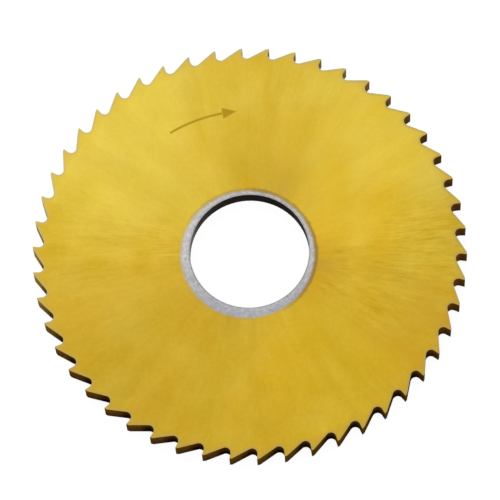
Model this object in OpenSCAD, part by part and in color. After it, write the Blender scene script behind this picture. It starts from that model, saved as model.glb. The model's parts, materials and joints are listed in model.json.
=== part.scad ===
// Slitting saw for an arbor: a flat, hollow-ground disc with straight teeth all round
// its rim and a plain bore. It lies on one side, with the bore's axis along +Z, the lower
// rim face at Z = 0 and the tip of one tooth on +X. Seen from +Z, the teeth face clockwise.

/* [Disc] */
// Diameter over the tooth tips
saw_d = 80; // [63:1:125]
// Thickness at the rim
saw_t = 4; // [2:0.1:6]

/* [Bore and hub] */
// Diameter of the bore
bore_d = 22; // [13:1:32]
// Chamfer at both ends of the bore
bore_chamfer = 0.25; // [0.1:0.05:0.6]
// Width of the flat hub round the bore, where the arbor's collars clamp
hub_w = 7; // [3:0.5:10]

/* [Hollow grinding] */
// Depth of the hub below the rim, on each side
side_relief = 0.08; // [0.02:0.01:0.2]
// Width of the parallel margin inside the gullets
margin_w = 1; // [0.5:0.1:3]

/* [Teeth] */
// Number of teeth
tooth_count = 50; // [36:2:72]
// Rake of the cutting face from the radius, in degrees
rake_angle = 6; // [0:0.5:12]
// Width of the land behind each tip
land_w = 0.5; // [0.2:0.05:0.8]
// Fall of the land from the tangent, in degrees
land_angle = 11; // [5:0.5:15]
// Fall of the tooth's back from the tangent, in degrees
back_angle = 33.5; // [25:0.5:40]
// Radius at the root of each gullet
gullet_r = 0.95; // [0.4:0.05:1.2]

/* [Hidden] */

// Facets of the gullet's arc, and of the turned blank
arc_steps = 12;
turned_fn = 180;
// Stock that the blank has beyond the tips, and that the tooth cutter runs past each face
stock = 1;
// Share of the shorter flank of a gullet that its root radius may take up
root_share = 0.95;

saw_r = saw_d / 2;
bore_r = bore_d / 2;
hub_r = bore_r + hub_w;

// Unit vector at an angle from +X
function heading(a) = [cos(a), sin(a)];

// Point turned about the axis
function turned(p, a) = [p.x * cos(a) - p.y * sin(a), p.x * sin(a) + p.y * cos(a)];

// Point where the line through p along u meets the line through q along v
function meet(p, u, q, v) = p + u * cross(q - p, v) / cross(u, v);

// One tooth, counterclockwise from its tip on +X: the land, then the back, which falls to the
// valley under the cutting face of the next tooth
pitch_angle = 360 / tooth_count;
tip = saw_r * heading(0);
next_tip = saw_r * heading(pitch_angle);
heel = tip + land_w * heading(90 + land_angle);
valley = meet(heel, heading(90 + back_angle), next_tip, heading(180 + pitch_angle - rake_angle));

// The gullet opens from the valley between two flanks, and an arc that touches both rounds its root
gullet_angle = 90 + pitch_angle - rake_angle - back_angle;
gullet_heading = pitch_angle - rake_angle - gullet_angle / 2;
short_flank = min(norm(heel - valley), norm(next_tip - valley));
root_r = min(gullet_r, root_share * short_flank * tan(gullet_angle / 2));
root_centre = valley + root_r / sin(gullet_angle / 2) * heading(gullet_heading);
root_start = 180 + back_angle;
root_sweep = 180 - gullet_angle;
root_arc = [for (i = [0 : arc_steps])
    root_centre + root_r * heading(root_start - root_sweep * i / arc_steps)];
tooth = concat([tip, heel], root_arc);

// Half section of the lower side, from the bore out: chamfer, flat hub, hollow cone, margin
margin_r = norm(root_centre) - root_r - margin_w;
lower_side = [
    [bore_r, side_relief + bore_chamfer],
    [bore_r + bore_chamfer, side_relief],
    [hub_r, side_relief],
    [margin_r, 0],
    [saw_r + stock, 0]
];
upper_side = [for (i = [len(lower_side) - 1 : -1 : 0])
    [lower_side[i].x, saw_t - lower_side[i].y]];

// Turned and side-ground disc, before its teeth are cut
module blank() {
    rotate_extrude($fn = turned_fn)
        polygon(concat(lower_side, upper_side));
}

// Outline of the whole ring of teeth
module tooth_ring() {
    polygon([for (k = [0 : tooth_count - 1]) for (p = tooth) turned(p, k * pitch_angle)]);
}

// The finished saw, one piece of steel
module saw_blade() {
    color([0.83, 0.69, 0.2])
        intersection() {
            blank();
            translate([0, 0, -stock])
                linear_extrude(saw_t + 2 * stock)
                    tooth_ring();
        }
}

saw_blade();
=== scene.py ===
import json
import math
import bmesh
import bpy
from mathutils import Matrix, Vector


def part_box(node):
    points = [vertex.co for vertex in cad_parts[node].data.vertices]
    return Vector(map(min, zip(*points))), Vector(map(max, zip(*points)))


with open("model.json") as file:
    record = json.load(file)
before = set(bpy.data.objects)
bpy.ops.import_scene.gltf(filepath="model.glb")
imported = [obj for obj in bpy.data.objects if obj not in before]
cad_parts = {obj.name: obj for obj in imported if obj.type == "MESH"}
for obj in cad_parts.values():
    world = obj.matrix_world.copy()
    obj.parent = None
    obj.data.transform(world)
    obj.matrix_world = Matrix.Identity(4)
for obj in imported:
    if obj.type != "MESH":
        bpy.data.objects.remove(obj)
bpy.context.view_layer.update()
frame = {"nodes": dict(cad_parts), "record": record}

# The saw is one disc of high-speed steel: turned, toothed, hardened and ground on both sides, so
# that fine lines run out from the bore to the teeth. A gold nitride coat covers both faces, up to
# a ring of bare steel that a washer masked in the furnace. It thins out down the dark tooth flanks.
saw = frame["nodes"]["saw_blade"]
saw_low, saw_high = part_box("saw_blade")
saw_radius = saw_high.x
saw_middle = (saw_low.z + saw_high.z) / 2
bore = next(m for m in frame["record"]["mounts"] if m["name"] == "bore")
bore_radius = bore["dims"]["r_mm"] / 1000


def place(tree, kind, **settings):
    """Adds a node and sets its plain properties."""
    node = tree.nodes.new(kind)
    for name, value in settings.items():
        setattr(node, name, value)
    return node


def feed(tree, socket, value):
    """Sets an input to a number or a colour, or links it to the output of another node."""
    if isinstance(value, bpy.types.NodeSocket):
        tree.links.new(value, socket)
    else:
        socket.default_value = value


def calc(tree, operation, *values, clamp=False):
    """One step of arithmetic."""
    node = place(tree, "ShaderNodeMath", operation=operation, use_clamp=clamp)
    for socket, value in zip(node.inputs, values):
        feed(tree, socket, value)
    return node.outputs[0]


def vector(tree, operation, *values):
    """One step of vector arithmetic."""
    node = place(tree, "ShaderNodeVectorMath", operation=operation)
    sockets = [s for s in node.inputs if s.enabled]
    for socket, value in zip(sockets, values):
        feed(tree, socket, value)
    return next(s for s in node.outputs if s.enabled)


def ease(tree, value, start, end):
    """0 at start and 1 at end, smooth between them and level beyond them."""
    node = place(tree, "ShaderNodeMapRange", interpolation_type="SMOOTHSTEP")
    feed(tree, node.inputs["Value"], value)
    feed(tree, node.inputs["From Min"], start)
    feed(tree, node.inputs["From Max"], end)
    return node.outputs["Result"]


def blend(tree, factor, first, second):
    """Mixes two colours."""
    node = place(tree, "ShaderNodeMix", data_type="RGBA")
    feed(tree, node.inputs["Factor"], factor)
    feed(tree, node.inputs[6], first)
    feed(tree, node.inputs[7], second)
    return node.outputs[2]


def noise(tree, where, scale, detail=2.0, distortion=0.0):
    """Cloudy noise from 0 to 1."""
    node = place(tree, "ShaderNodeTexNoise")
    feed(tree, node.inputs["Vector"], where)
    feed(tree, node.inputs["Scale"], scale)
    feed(tree, node.inputs["Detail"], detail)
    feed(tree, node.inputs["Distortion"], distortion)
    return node.outputs["Fac"]


def swing(tree, pattern, strength, base):
    """Adds a pattern to a base, as much above it as below."""
    return calc(tree, "MULTIPLY_ADD", calc(tree, "SUBTRACT", pattern, 0.5), strength, base)


# Grinding lines are noise drawn out along the radius, wider apart in the inner part of the face.
RAY_DETAIL = 3.0
RAY_WAVER = 0.4
INNER_SPREAD = 0.45
INNER_RADIUS = 0.014
OUTER_RADIUS = 0.028
rays = bpy.data.node_groups.new("grinding_rays", "ShaderNodeTree")
rays.interface.new_socket("Spread", in_out="INPUT", socket_type="NodeSocketFloat")
rays.interface.new_socket("Length", in_out="INPUT", socket_type="NodeSocketFloat")
rays.interface.new_socket("Rays", in_out="OUTPUT", socket_type="NodeSocketFloat")
ray_in = place(rays, "NodeGroupInput")
ray_out = place(rays, "NodeGroupOutput")
ray_spot = place(rays, "ShaderNodeTexCoord").outputs["Object"]
ray_flat = vector(rays, "MULTIPLY", ray_spot, (1, 1, 0))
ray_radius = vector(rays, "LENGTH", ray_flat)
outward = place(rays, "ShaderNodeCombineXYZ")
feed(rays, outward.inputs["Z"], calc(rays, "DIVIDE", ray_radius, ray_in.outputs["Length"]))
around = vector(rays, "SCALE", vector(rays, "NORMALIZE", ray_flat), ray_in.outputs["Spread"])


def ray_noise(turn):
    """Noise over the direction from the axis and the distance from it."""
    return noise(rays, vector(rays, "ADD", turn, outward.outputs[0]), 1.0, RAY_DETAIL, RAY_WAVER)


widening = place(rays, "ShaderNodeMix")
feed(rays, widening.inputs["Factor"], ease(rays, ray_radius, INNER_RADIUS, OUTER_RADIUS))
feed(rays, widening.inputs["A"], ray_noise(vector(rays, "SCALE", around, INNER_SPREAD)))
feed(rays, widening.inputs["B"], ray_noise(around))
feed(rays, ray_out.inputs["Rays"], widening.outputs["Result"])

finish = bpy.data.materials.new("gold_coat")
finish.use_nodes = True
coat = finish.node_tree
shader = coat.nodes["Principled BSDF"]
coords = place(coat, "ShaderNodeTexCoord")
spot = coords.outputs["Object"]
flat = vector(coat, "MULTIPLY", spot, (1, 1, 0))
radius = vector(coat, "LENGTH", flat)
heading = vector(coat, "NORMALIZE", flat)


def grinding(spread, length):
    """Grinding lines of one fineness, by how close and how long they are."""
    node = place(coat, "ShaderNodeGroup", node_tree=rays)
    feed(coat, node.inputs["Spread"], spread)
    feed(coat, node.inputs["Length"], length)
    return node.outputs["Rays"]


def fan(degrees, reach, full=0):
    """1 along one direction from the axis, falling to 0 at a reach in degrees to either side.
    It can stay full for some degrees before it falls. The right is at 0 and the top at 90."""
    way = (math.cos(math.radians(degrees)), math.sin(math.radians(degrees)), 0)
    along = vector(coat, "DOT_PRODUCT", heading, way)
    return ease(coat, along, math.cos(math.radians(reach)), math.cos(math.radians(full)))


def patch(degrees, reach, start, end):
    """A fan that grows from nothing at one radius to its full strength at another."""
    return calc(coat, "MULTIPLY", fan(degrees, reach), ease(coat, radius, start, end))


def product(*shares):
    """Several shares multiplied together."""
    result = shares[0]
    for share in shares[1:]:
        result = calc(coat, "MULTIPLY", result, share)
    return result


def strongest(*shares):
    """The highest of several shares."""
    result = shares[0]
    for share in shares[1:]:
        result = calc(coat, "MAXIMUM", result, share)
    return result


def add_up(base, *steps):
    """A base to which shares are added, each times its own amount."""
    for share, amount in steps:
        base = calc(coat, "MULTIPLY_ADD", share, amount, base)
    return base


sheen_sectors = grinding(spread=2.2, length=0.05)
broad_streaks = grinding(spread=9.0, length=0.020)
streaks = grinding(spread=36.0, length=0.006)
lines = grinding(spread=130.0, length=0.0028)
scratches = grinding(spread=90.0, length=0.0045)
clouds = noise(coat, spot, scale=160.0, detail=3.0)
mottle = noise(coat, spot, scale=1600.0)

# The wheel ground coarsest towards the right, less so at the left, and a little at the top.
coarse_left = add_up(0.0, (fan(171, 24), 0.42), (patch(170, 28, 0.030, 0.018), 0.38))
coarse_top = product(patch(70, 28, 0.022, 0.032), 0.22)
coarse_grind = strongest(fan(-21, 27), patch(0, 17, 0.021, 0.029), coarse_left, coarse_top)

# The gold runs from dark orange to pale lemon and drifts over the face. Part of this is the coat's
# own colour and part is painted sheen and shade: the face is painted paler towards the lamp at the
# upper left and in broad radial fans where the grinding lines catch the light, and the darker golds
# are painted more orange as shade.
DARK_GOLD = (0.475, 0.280, 0.012, 1)
DEEP_GOLD = (0.545, 0.346, 0.0205, 1)
MIDDLE_GOLD = (0.605, 0.410, 0.036, 1)
LEMON_GOLD = (0.675, 0.512, 0.068, 1)
PALE_GOLD = (0.755, 0.625, 0.094, 1)
COMMON_TONE = 0.36
tone_and_sheen = add_up(
    COMMON_TONE,
    (fan(118, 125), 0.10),  # all but the lower right
    (fan(136, 50), 0.17),  # the upper left, palest of all
    (fan(22, 40), 0.05),  # the right, above its middle
    (patch(75, 85, 0.014, 0.030), 0.08),  # the top, towards the teeth
    (patch(40, 45, 0.022, 0.036), 0.12),  # the upper right, by the teeth
    (patch(-13, 18, 0.021, 0.030), 0.13),  # the right, towards the teeth
    (patch(132, 36, 0.018, 0.030), 0.08),  # the upper left, towards the teeth
    (patch(70, 36, 0.028, 0.013), -0.10),  # the top, towards the ring
    (fan(112, 24), -0.04),  # a band at the top
    (patch(238, 26, 0.024, 0.015), -0.11),  # the lower left, by the ring
    (patch(165, 30, 0.022, 0.014), -0.10),  # the left, by the ring
    (patch(172, 15, 0.031, 0.037), -0.10),  # the left, by the teeth
    (fan(228, 24), -0.06),  # a band at the lower left
    (patch(212, 34, 0.020, 0.034), -0.07),  # the lower left, towards the teeth
)
for pattern, strength in ((sheen_sectors, 0.25), (broad_streaks, 0.15), (clouds, 0.10)):
    tone_and_sheen = swing(coat, pattern, strength, tone_and_sheen)
ramp = place(coat, "ShaderNodeValToRGB")
ramp.color_ramp.elements[0].color = DARK_GOLD
ramp.color_ramp.elements[1].color = PALE_GOLD
ramp.color_ramp.elements.new(0.25).color = DEEP_GOLD
ramp.color_ramp.elements.new(0.50).color = MIDDLE_GOLD
ramp.color_ramp.elements.new(0.75).color = LEMON_GOLD
feed(coat, ramp.inputs["Fac"], tone_and_sheen)

# The grain of the grinding lightens and darkens the gold, with more strength where it is coarse.
GRAIN_GOLD = (0.250, 0.200, 0.044)
SCRATCH_DEPTH = 0.34
SMOOTHER = 0.20
grain = 0.0
for pattern, everywhere, where_coarse in (
    (mottle, 0.34, 0.0),
    (broad_streaks, 0.25, 0.0),
    (clouds, 0.32, 0.25),
    (streaks, 0.17, 0.60),
    (lines, 0.14, 0.78),
):
    grain = swing(coat, pattern, add_up(everywhere, (coarse_grind, where_coarse)), grain)
scratched = product(ease(coat, scratches, 0.54, 0.74), coarse_grind)
grain = add_up(grain, (scratched, -SCRATCH_DEPTH))
grain = product(grain, add_up(1.0, (fan(38, 40), -SMOOTHER)))
gold = vector(coat, "ADD", ramp.outputs["Color"], vector(coat, "SCALE", GRAIN_GOLD, grain))

# Orange clouds lie beside the ring and by the teeth, both at the lower right.
ORANGE_GOLD = (0.545, 0.318, 0.020, 1)
beside_ring = patch(-22, 36, 0.020, 0.012)
lower_right = patch(-33, 24, 0.022, 0.036)
orange = product(strongest(beside_ring, lower_right), ease(coat, clouds, 0.25, 0.75))
gold = blend(coat, orange, gold, ORANGE_GOLD)

# Small clouds of the coat are warmer or cooler than the rest, least of all at the upper left.
WARM_RED = 0.09
WARM_GREEN = -0.12
WARM_BLUE = -1.10
COOL_BLUE = 0.50
EVENER = 0.6
unevenness = add_up(1.0, (fan(136, 70), -EVENER))
warmth = swing(coat, noise(coat, spot, scale=130.0, detail=5.0), unevenness, 0.0)
blue = add_up(
    swing(coat, noise(coat, spot, scale=170.0, detail=4.0), COOL_BLUE, 1.0),
    (fan(212, 42), 0.20),  # the lower left
    (fan(294, 30), -0.20),  # the bottom, right of its middle
    (patch(255, 70, 0.0195, 0.0130), 0.22),  # below the ring
    (warmth, WARM_BLUE),
)
hue = place(coat, "ShaderNodeCombineXYZ")
feed(coat, hue.inputs["X"], add_up(1.0, (warmth, WARM_RED)))
feed(coat, hue.inputs["Y"], add_up(1.0, (warmth, WARM_GREEN)))
feed(coat, hue.inputs["Z"], blue)
gold = vector(coat, "MULTIPLY", gold, hue.outputs[0])
# The gold is painted lighter as sheen in fans at the right above its middle, at the upper right by
# the teeth and a little at the lower right. It is painted a little darker at the lower left and by
# the right teeth.
painted_sheen = add_up(
    1.0,
    (patch(22, 40, 0.042, 0.026), 0.15),  # the right, above its middle
    (patch(212, 45, 0.022, 0.034), -0.05),  # the lower left, towards the teeth
    (patch(4, 16, 0.0225, 0.0285), -0.04),  # the right, towards the teeth
    (fan(305, 40), 0.025),  # the lower right
    (patch(38, 36, 0.026, 0.036), 0.045),  # the upper right, by the teeth
)
gold = vector(coat, "SCALE", gold, painted_sheen)

# Handling has left smudges in the streaks beside the ring, at its upper and lower right.
SMUDGED_GOLD = (0.400, 0.260, 0.045, 1)
SMUDGE_STRENGTH = 0.32
smudge = strongest(patch(64, 46, 0.0220, 0.0130), patch(-22, 40, 0.0180, 0.0130))
smudge = product(smudge, ease(coat, broad_streaks, 0.35, 0.65), SMUDGE_STRENGTH)
gold = blend(coat, smudge, gold, SMUDGED_GOLD)

# An arrow etched in the upper face gives the way the saw turns. Its shaft is an arc round the axis,
# and its lengths are measured along that arc from the foot of the head.
ETCHED_GOLD = (0.400, 0.245, 0.012, 1)
ETCH_STRENGTH = 0.85
ETCH_BLUR = 0.00012
ARROW_RADIUS = 0.0275
ARROW_HALF_LINE = 0.00022
ARROW_SHAFT_LENGTH = 0.0105
ARROW_HEAD_AT = math.radians(95)
ARROW_HEAD_LENGTH = 0.0026
ARROW_HEAD_HALF = 0.0011


def under(value, limit):
    """1 where a value is under its limit and 0 where it is over, with a soft edge between them."""
    return ease(coat, calc(coat, "SUBTRACT", limit, value), -ETCH_BLUR, ETCH_BLUR)


sides = place(coat, "ShaderNodeSeparateXYZ")
feed(coat, sides.inputs[0], spot)
turned = calc(coat, "ARCTAN2", sides.outputs["Y"], sides.outputs["X"])
from_head = product(calc(coat, "SUBTRACT", turned, ARROW_HEAD_AT), ARROW_RADIUS)
off_arc = calc(coat, "ABSOLUTE", calc(coat, "SUBTRACT", radius, ARROW_RADIUS))
head_half = add_up(ARROW_HEAD_HALF, (from_head, ARROW_HEAD_HALF / ARROW_HEAD_LENGTH))
in_shaft = product(
    under(off_arc, ARROW_HALF_LINE),
    under(0.0, from_head),
    under(from_head, ARROW_SHAFT_LENGTH),
)
in_head = product(under(off_arc, head_half), under(from_head, 0.0))
on_top = ease(coat, sides.outputs["Z"], saw_middle, saw_high.z)
etched = product(strongest(in_shaft, in_head), on_top, ETCH_STRENGTH)
gold = blend(coat, etched, gold, ETCHED_GOLD)

# The coat is browner in clouds along the tips. Every sharp edge is partly coat thinned by wear and
# partly a painted edge highlight, pale on the edges towards the lamp at the upper left and brown on
# the others.
TIP_GOLD = (0.500, 0.285, 0.045, 1)
TIP_STRENGTH = 0.35
TIP_BAND = 0.0032
TIP_END = 0.0008
LIT_EDGE_PALE = (0.450, 0.405, 0.180, 1)
SHADED_EDGE_BROWN = (0.430, 0.325, 0.090, 1)
EDGE_BAND_WIDTH = 0.0010
near_tips = ease(coat, radius, saw_radius - TIP_BAND, saw_radius - TIP_END)
near_tips = product(near_tips, ease(coat, clouds, 0.3, 0.7), TIP_STRENGTH)
gold = blend(coat, near_tips, gold, TIP_GOLD)
rounded = place(coat, "ShaderNodeBevel", samples=6)
rounded.inputs["Radius"].default_value = EDGE_BAND_WIDTH
straight = place(coat, "ShaderNodeNewGeometry").outputs["Normal"]
sharp = calc(coat, "SUBTRACT", 1.0, vector(coat, "DOT_PRODUCT", rounded.outputs[0], straight))
edge_wear_and_highlight = product(ease(coat, sharp, 0.002, 0.06), ease(coat, mottle, 0.1, 0.6))
lit_and_shaded_edge_gold = blend(coat, fan(118, 115), SHADED_EDGE_BROWN, LIT_EDGE_PALE)
gold = blend(coat, edge_wear_and_highlight, gold, lit_and_shaded_edge_gold)

# The bare ring has a ragged rim and lies a little off centre. It is lighter at the top, the left and
# the right and darker at the lower left, blued below, and tinted brown by heat where the coat
# begins.
BARE_STEEL = (0.380, 0.380, 0.394, 1)
PALER_STEEL = (0.500, 0.490, 0.495, 1)
BLUED_STEEL = (0.335, 0.348, 0.430, 1)
HEAT_TINT = (0.200, 0.130, 0.045, 1)
RING_RADIUS = 0.01235
RING_CENTRE = (-0.00034, -0.00064, 0)
RING_FADE = 0.0005
RING_RAGGED = 0.0004
RING_WAVY = 0.0003
COMMON_LIGHTNESS = 0.3
LIGHTNESS_PATCHY = 1.6
STEEL_SHADE = 0.80
BLUED_FROM = 0.0109
BLUED_TO = 0.0119
TINT_PEAK = RING_RADIUS + RING_FADE / 2
TINT_WIDTH = 0.0008
TINT_END = RING_RADIUS + TINT_WIDTH
COMMON_TINT = 0.10
off_centre = vector(coat, "LENGTH", vector(coat, "SUBTRACT", flat, RING_CENTRE))
ragged = swing(coat, mottle, RING_RAGGED, off_centre)
ragged = swing(coat, noise(coat, spot, scale=600.0), RING_WAVY, ragged)
coated = ease(coat, ragged, RING_RADIUS - RING_FADE, RING_RADIUS + RING_FADE)
steel_lightness = add_up(
    COMMON_LIGHTNESS,
    (fan(90, 130), 0.35),  # the top
    (fan(155, 60), 0.35),  # the left
    (fan(0, 45), 0.40),  # the right
    (fan(225, 45), -0.20),  # the lower left
)
steel_lightness = swing(coat, noise(coat, spot, scale=1500.0, detail=3.0), LIGHTNESS_PATCHY, steel_lightness)
steel = blend(coat, ease(coat, steel_lightness, 0.0, 1.0), BARE_STEEL, PALER_STEEL)
blued_clouds = ease(coat, noise(coat, spot, scale=1300.0, detail=3.0), 0.35, 0.65)
blued = product(fan(268, 75), ease(coat, off_centre, BLUED_FROM, BLUED_TO), blued_clouds)
steel = blend(coat, blued, steel, BLUED_STEEL)
steel_mottle = noise(coat, spot, scale=1700.0, detail=3.0)
steel = vector(coat, "SCALE", steel, swing(coat, steel_mottle, STEEL_SHADE, 1.0))
tint_in = ease(coat, ragged, RING_RADIUS - RING_FADE, TINT_PEAK)
tint_out = ease(coat, ragged, TINT_END, TINT_PEAK)
tint_strength = add_up(
    COMMON_TINT,
    (fan(100, 60), 0.30),  # the top
    (fan(58, 34), 0.32),  # the upper right
    (fan(-10, 68), 0.65),  # the right, most of all
)
face = blend(coat, coated, steel, gold)
face = blend(coat, product(tint_in, tint_out, tint_strength), face, HEAT_TINT)

# The tooth flanks are milled, and the cutter's marks cross the rim. Their coat is painted dark brown
# as shade, with roots painted black as shade in the gullets, and painted lighter tan with red roots
# at the right, where light falls on them. Gold coat reaches a little way down from the top edge, and
# the lower part is painted darker as shade near the floor. On the far side, which faces the lamp,
# they are painted gold as lit coat.
ROOT_SHADE_BLACK = (0.018, 0.008, 0.003, 1)
ROOT_TOP_BROWN = (0.130, 0.050, 0.003, 1)
ROOT_LIT_RED = (0.290, 0.105, 0.008, 1)
FLANK_SHADED_BROWN = (0.088, 0.043, 0.013, 1)
FLANK_LIT_TAN = (0.130, 0.068, 0.028, 1)
FLANK_GOLD = (0.200, 0.074, 0.001, 1)
FLANK_LIT_COAT = (0.460, 0.307, 0.048, 1)
ROOT_LIT_SHARE = 0.5
ROOT_DEPTH = 0.0019
BACK_DEPTH = 0.0008
ACROSS_THE_RIM = (1, 1, 0.1)
MARK_LENGTH = 0.0008
MARK_SHADE = 0.5
COAT_RAGGED = 0.6
height = calc(coat, "DIVIDE", sides.outputs["Z"], saw_high.z)
mill_marks = noise(coat, vector(coat, "MULTIPLY", spot, ACROSS_THE_RIM), scale=3000.0)
flank_clouds = noise(coat, spot, scale=700.0, detail=3.0)
lit_right_side = fan(10, 55)
lit_far_side = fan(116, 92, full=52)
coat_reach_and_shade = ease(coat, swing(coat, flank_clouds, COAT_RAGGED, height), 0.1, 1.1)
flank = blend(coat, lit_right_side, FLANK_SHADED_BROWN, FLANK_LIT_TAN)
flank = blend(coat, coat_reach_and_shade, flank, FLANK_GOLD)
flank = blend(coat, lit_far_side, flank, FLANK_LIT_COAT)
root = blend(coat, ease(coat, height, 0.2, 1.1), ROOT_SHADE_BLACK, ROOT_TOP_BROWN)
root = blend(coat, lit_right_side, root, ROOT_LIT_RED)
root = blend(coat, product(lit_far_side, ROOT_LIT_SHARE), root, FLANK_LIT_COAT)
uneven_radius = swing(coat, mill_marks, MARK_LENGTH, radius)
past_root = ease(coat, uneven_radius, saw_radius - ROOT_DEPTH, saw_radius - BACK_DEPTH)
flank = blend(coat, past_root, root, flank)
flank = vector(coat, "SCALE", flank, swing(coat, mill_marks, MARK_SHADE, 1.0))

# The bore is honed round. Its wall is painted dark as shade inside the bore, and painted greyer away
# from the far side and pale at the left as light reaching it.
BORE_SHADE_DARK = (0.023, 0.016, 0.013, 1)
BORE_LIGHT = (0.043, 0.031, 0.026, 1)
BORE_LIT_GREY = (0.120, 0.106, 0.090, 1)
BORE_LIT_PALE = (0.300, 0.270, 0.235, 1)
ROUND_THE_BORE = (0.1, 0.1, 1)
BY_THE_WALL = 1.05
PAST_THE_WALL = 1.1
honing = noise(coat, vector(coat, "MULTIPLY", spot, ROUND_THE_BORE), scale=6000.0, detail=3.0)
bore_wall = blend(coat, ease(coat, honing, 0.3, 0.7), BORE_SHADE_DARK, BORE_LIGHT)
bore_wall = blend(coat, fan(76, 84), BORE_LIT_GREY, bore_wall)
bore_wall = blend(coat, fan(180, 40), bore_wall, BORE_LIT_PALE)
in_bore = ease(coat, radius, bore_radius * PAST_THE_WALL, bore_radius * BY_THE_WALL)
side = blend(coat, in_bore, flank, bore_wall)

# The faces are satin metal, grooved along the finest grinding lines. The sides are matt.
SATIN = 0.40
LINES_ROUGHER = 0.14
MOTTLE_ROUGHER = 0.06
ETCHED_ROUGHER = 0.15
SIDE_SLOPE = 0.4
FACE_SLOPE = 0.6
GROOVE_DEPTH = 0.00002
GROOVE_STRENGTH = 0.25
facing = place(coat, "ShaderNodeSeparateXYZ")
feed(coat, facing.inputs[0], coords.outputs["Normal"])
on_face = ease(coat, calc(coat, "ABSOLUTE", facing.outputs["Z"]), SIDE_SLOPE, FACE_SLOPE)
feed(coat, shader.inputs["Base Color"], blend(coat, on_face, side, face))
feed(coat, shader.inputs["Metallic"], on_face)
roughness = swing(coat, lines, LINES_ROUGHER, SATIN)
roughness = swing(coat, mottle, MOTTLE_ROUGHER, roughness)
feed(coat, shader.inputs["Roughness"], add_up(roughness, (etched, ETCHED_ROUGHER)))
shader.inputs["Specular IOR Level"].default_value = 0.0
grooves = place(coat, "ShaderNodeBump")
grooves.inputs["Strength"].default_value = GROOVE_STRENGTH
grooves.inputs["Distance"].default_value = GROOVE_DEPTH
feed(coat, grooves.inputs["Height"], product(lines, on_face))
feed(coat, shader.inputs["Normal"], grooves.outputs[0])
saw.data.materials.clear()
saw.data.materials.append(finish)

# The floor is a wide sheet of plain white paper that the saw lies on. It shows as white to the
# eye and in the metal, and it keeps the soft shadow under the saw's edge.
FLOOR_HALF = 3.0
PAPER_WHITE = (0.8, 0.8, 0.8, 1)
PAPER_SHADED = (0.16, 0.16, 0.16, 1)
PAPER_GLOW = 0.93
floor_mesh = bpy.data.meshes.new("floor")
sheet = bmesh.new()
bmesh.ops.create_grid(sheet, x_segments=1, y_segments=1, size=FLOOR_HALF)
sheet.to_mesh(floor_mesh)
sheet.free()
floor = bpy.data.objects.new("floor", floor_mesh)
bpy.context.scene.collection.objects.link(floor)
white_paper = bpy.data.materials.new("white_paper")
white_paper.use_nodes = True
paper = white_paper.node_tree
paper.nodes.clear()


def seen_directly(tree):
    """1 for what the eye, the metal or glass sees, and 0 for the light that falls on things."""
    path = place(tree, "ShaderNodeLightPath")
    seen = calc(tree, "ADD", path.outputs["Is Camera Ray"], path.outputs["Is Glossy Ray"])
    return calc(tree, "ADD", seen, path.outputs["Is Transmission Ray"], clamp=True)


lit = place(paper, "ShaderNodeBsdfDiffuse")
lit.inputs["Color"].default_value = PAPER_WHITE
shaded = place(paper, "ShaderNodeBsdfDiffuse")
shaded.inputs["Color"].default_value = PAPER_SHADED
glow = place(paper, "ShaderNodeEmission")
glow.inputs["Strength"].default_value = PAPER_GLOW
white = place(paper, "ShaderNodeAddShader")
feed(paper, white.inputs[0], shaded.outputs[0])
feed(paper, white.inputs[1], glow.outputs[0])
either = place(paper, "ShaderNodeMixShader")
feed(paper, either.inputs[0], seen_directly(paper))
feed(paper, either.inputs[1], lit.outputs[0])
feed(paper, either.inputs[2], white.outputs[0])
surface = place(paper, "ShaderNodeOutputMaterial")
feed(paper, surface.inputs["Surface"], either.outputs[0])
floor_mesh.materials.append(white_paper)

# The light is a white studio room all round, with one soft lamp box over the saw's far left.
# The box is a little brighter than the room, so the face falls off gently to the near right.
ROOM_WHITE = 1.0
ROOM_LIGHT = 0.6
BOX_AT = Vector((-0.13, 0.20, 0.33))
BOX_SIZE = 0.24
BOX_POWER = 0.10
world = bpy.data.worlds.new("studio")
bpy.context.scene.world = world
world.use_nodes = True
studio = world.node_tree
room = studio.nodes["Background"]
room.inputs["Color"].default_value = (1, 1, 1, 1)
seen_more = ROOM_WHITE - ROOM_LIGHT
room_strength = calc(studio, "MULTIPLY_ADD", seen_directly(studio), seen_more, ROOM_LIGHT)
feed(studio, room.inputs["Strength"], room_strength)
box_lamp = bpy.data.lights.new("soft_box", "AREA")
box_lamp.size = BOX_SIZE
box_lamp.energy = BOX_POWER
soft_box = bpy.data.objects.new("soft_box", box_lamp)
soft_box.location = BOX_AT
soft_box.rotation_euler = (-BOX_AT).to_track_quat("-Z", "Y").to_euler()
soft_box.visible_camera = False
bpy.context.scene.collection.objects.link(soft_box)

# The camera looks down on the saw's upper face from the front, through a long lens.
# Its tilt, roll and distance are those of the photograph's own view.
SENSOR_WIDTH = 36
VIEW_WIDTH = 0.09196
CAMERA_DISTANCE = 0.763
CAMERA_TILT = math.radians(19.2)
CAMERA_TURN = math.radians(-0.85)
CAMERA_ROLL = math.radians(-5.0)
AIM_OFFSET = Vector((0.00011, 0.00006, 0))
NEAREST_SEEN = 0.01
FARTHEST_SEEN = 20
lens = bpy.data.cameras.new("camera")
lens.sensor_width = SENSOR_WIDTH
lens.lens = SENSOR_WIDTH * CAMERA_DISTANCE / VIEW_WIDTH
lens.clip_start = NEAREST_SEEN
lens.clip_end = FARTHEST_SEEN
camera = bpy.data.objects.new("camera", lens)
stand = Matrix.Translation((0, 0, saw_high.z))
stand = stand @ Matrix.Rotation(CAMERA_TURN, 4, "Z") @ Matrix.Rotation(CAMERA_TILT, 4, "X")
stand = stand @ Matrix.Rotation(CAMERA_ROLL, 4, "Z")
camera.matrix_world = stand @ Matrix.Translation(AIM_OFFSET + Vector((0, 0, CAMERA_DISTANCE)))
bpy.context.scene.collection.objects.link(camera)
bpy.context.scene.camera = camera
bpy.context.scene.view_settings.view_transform = "Standard"
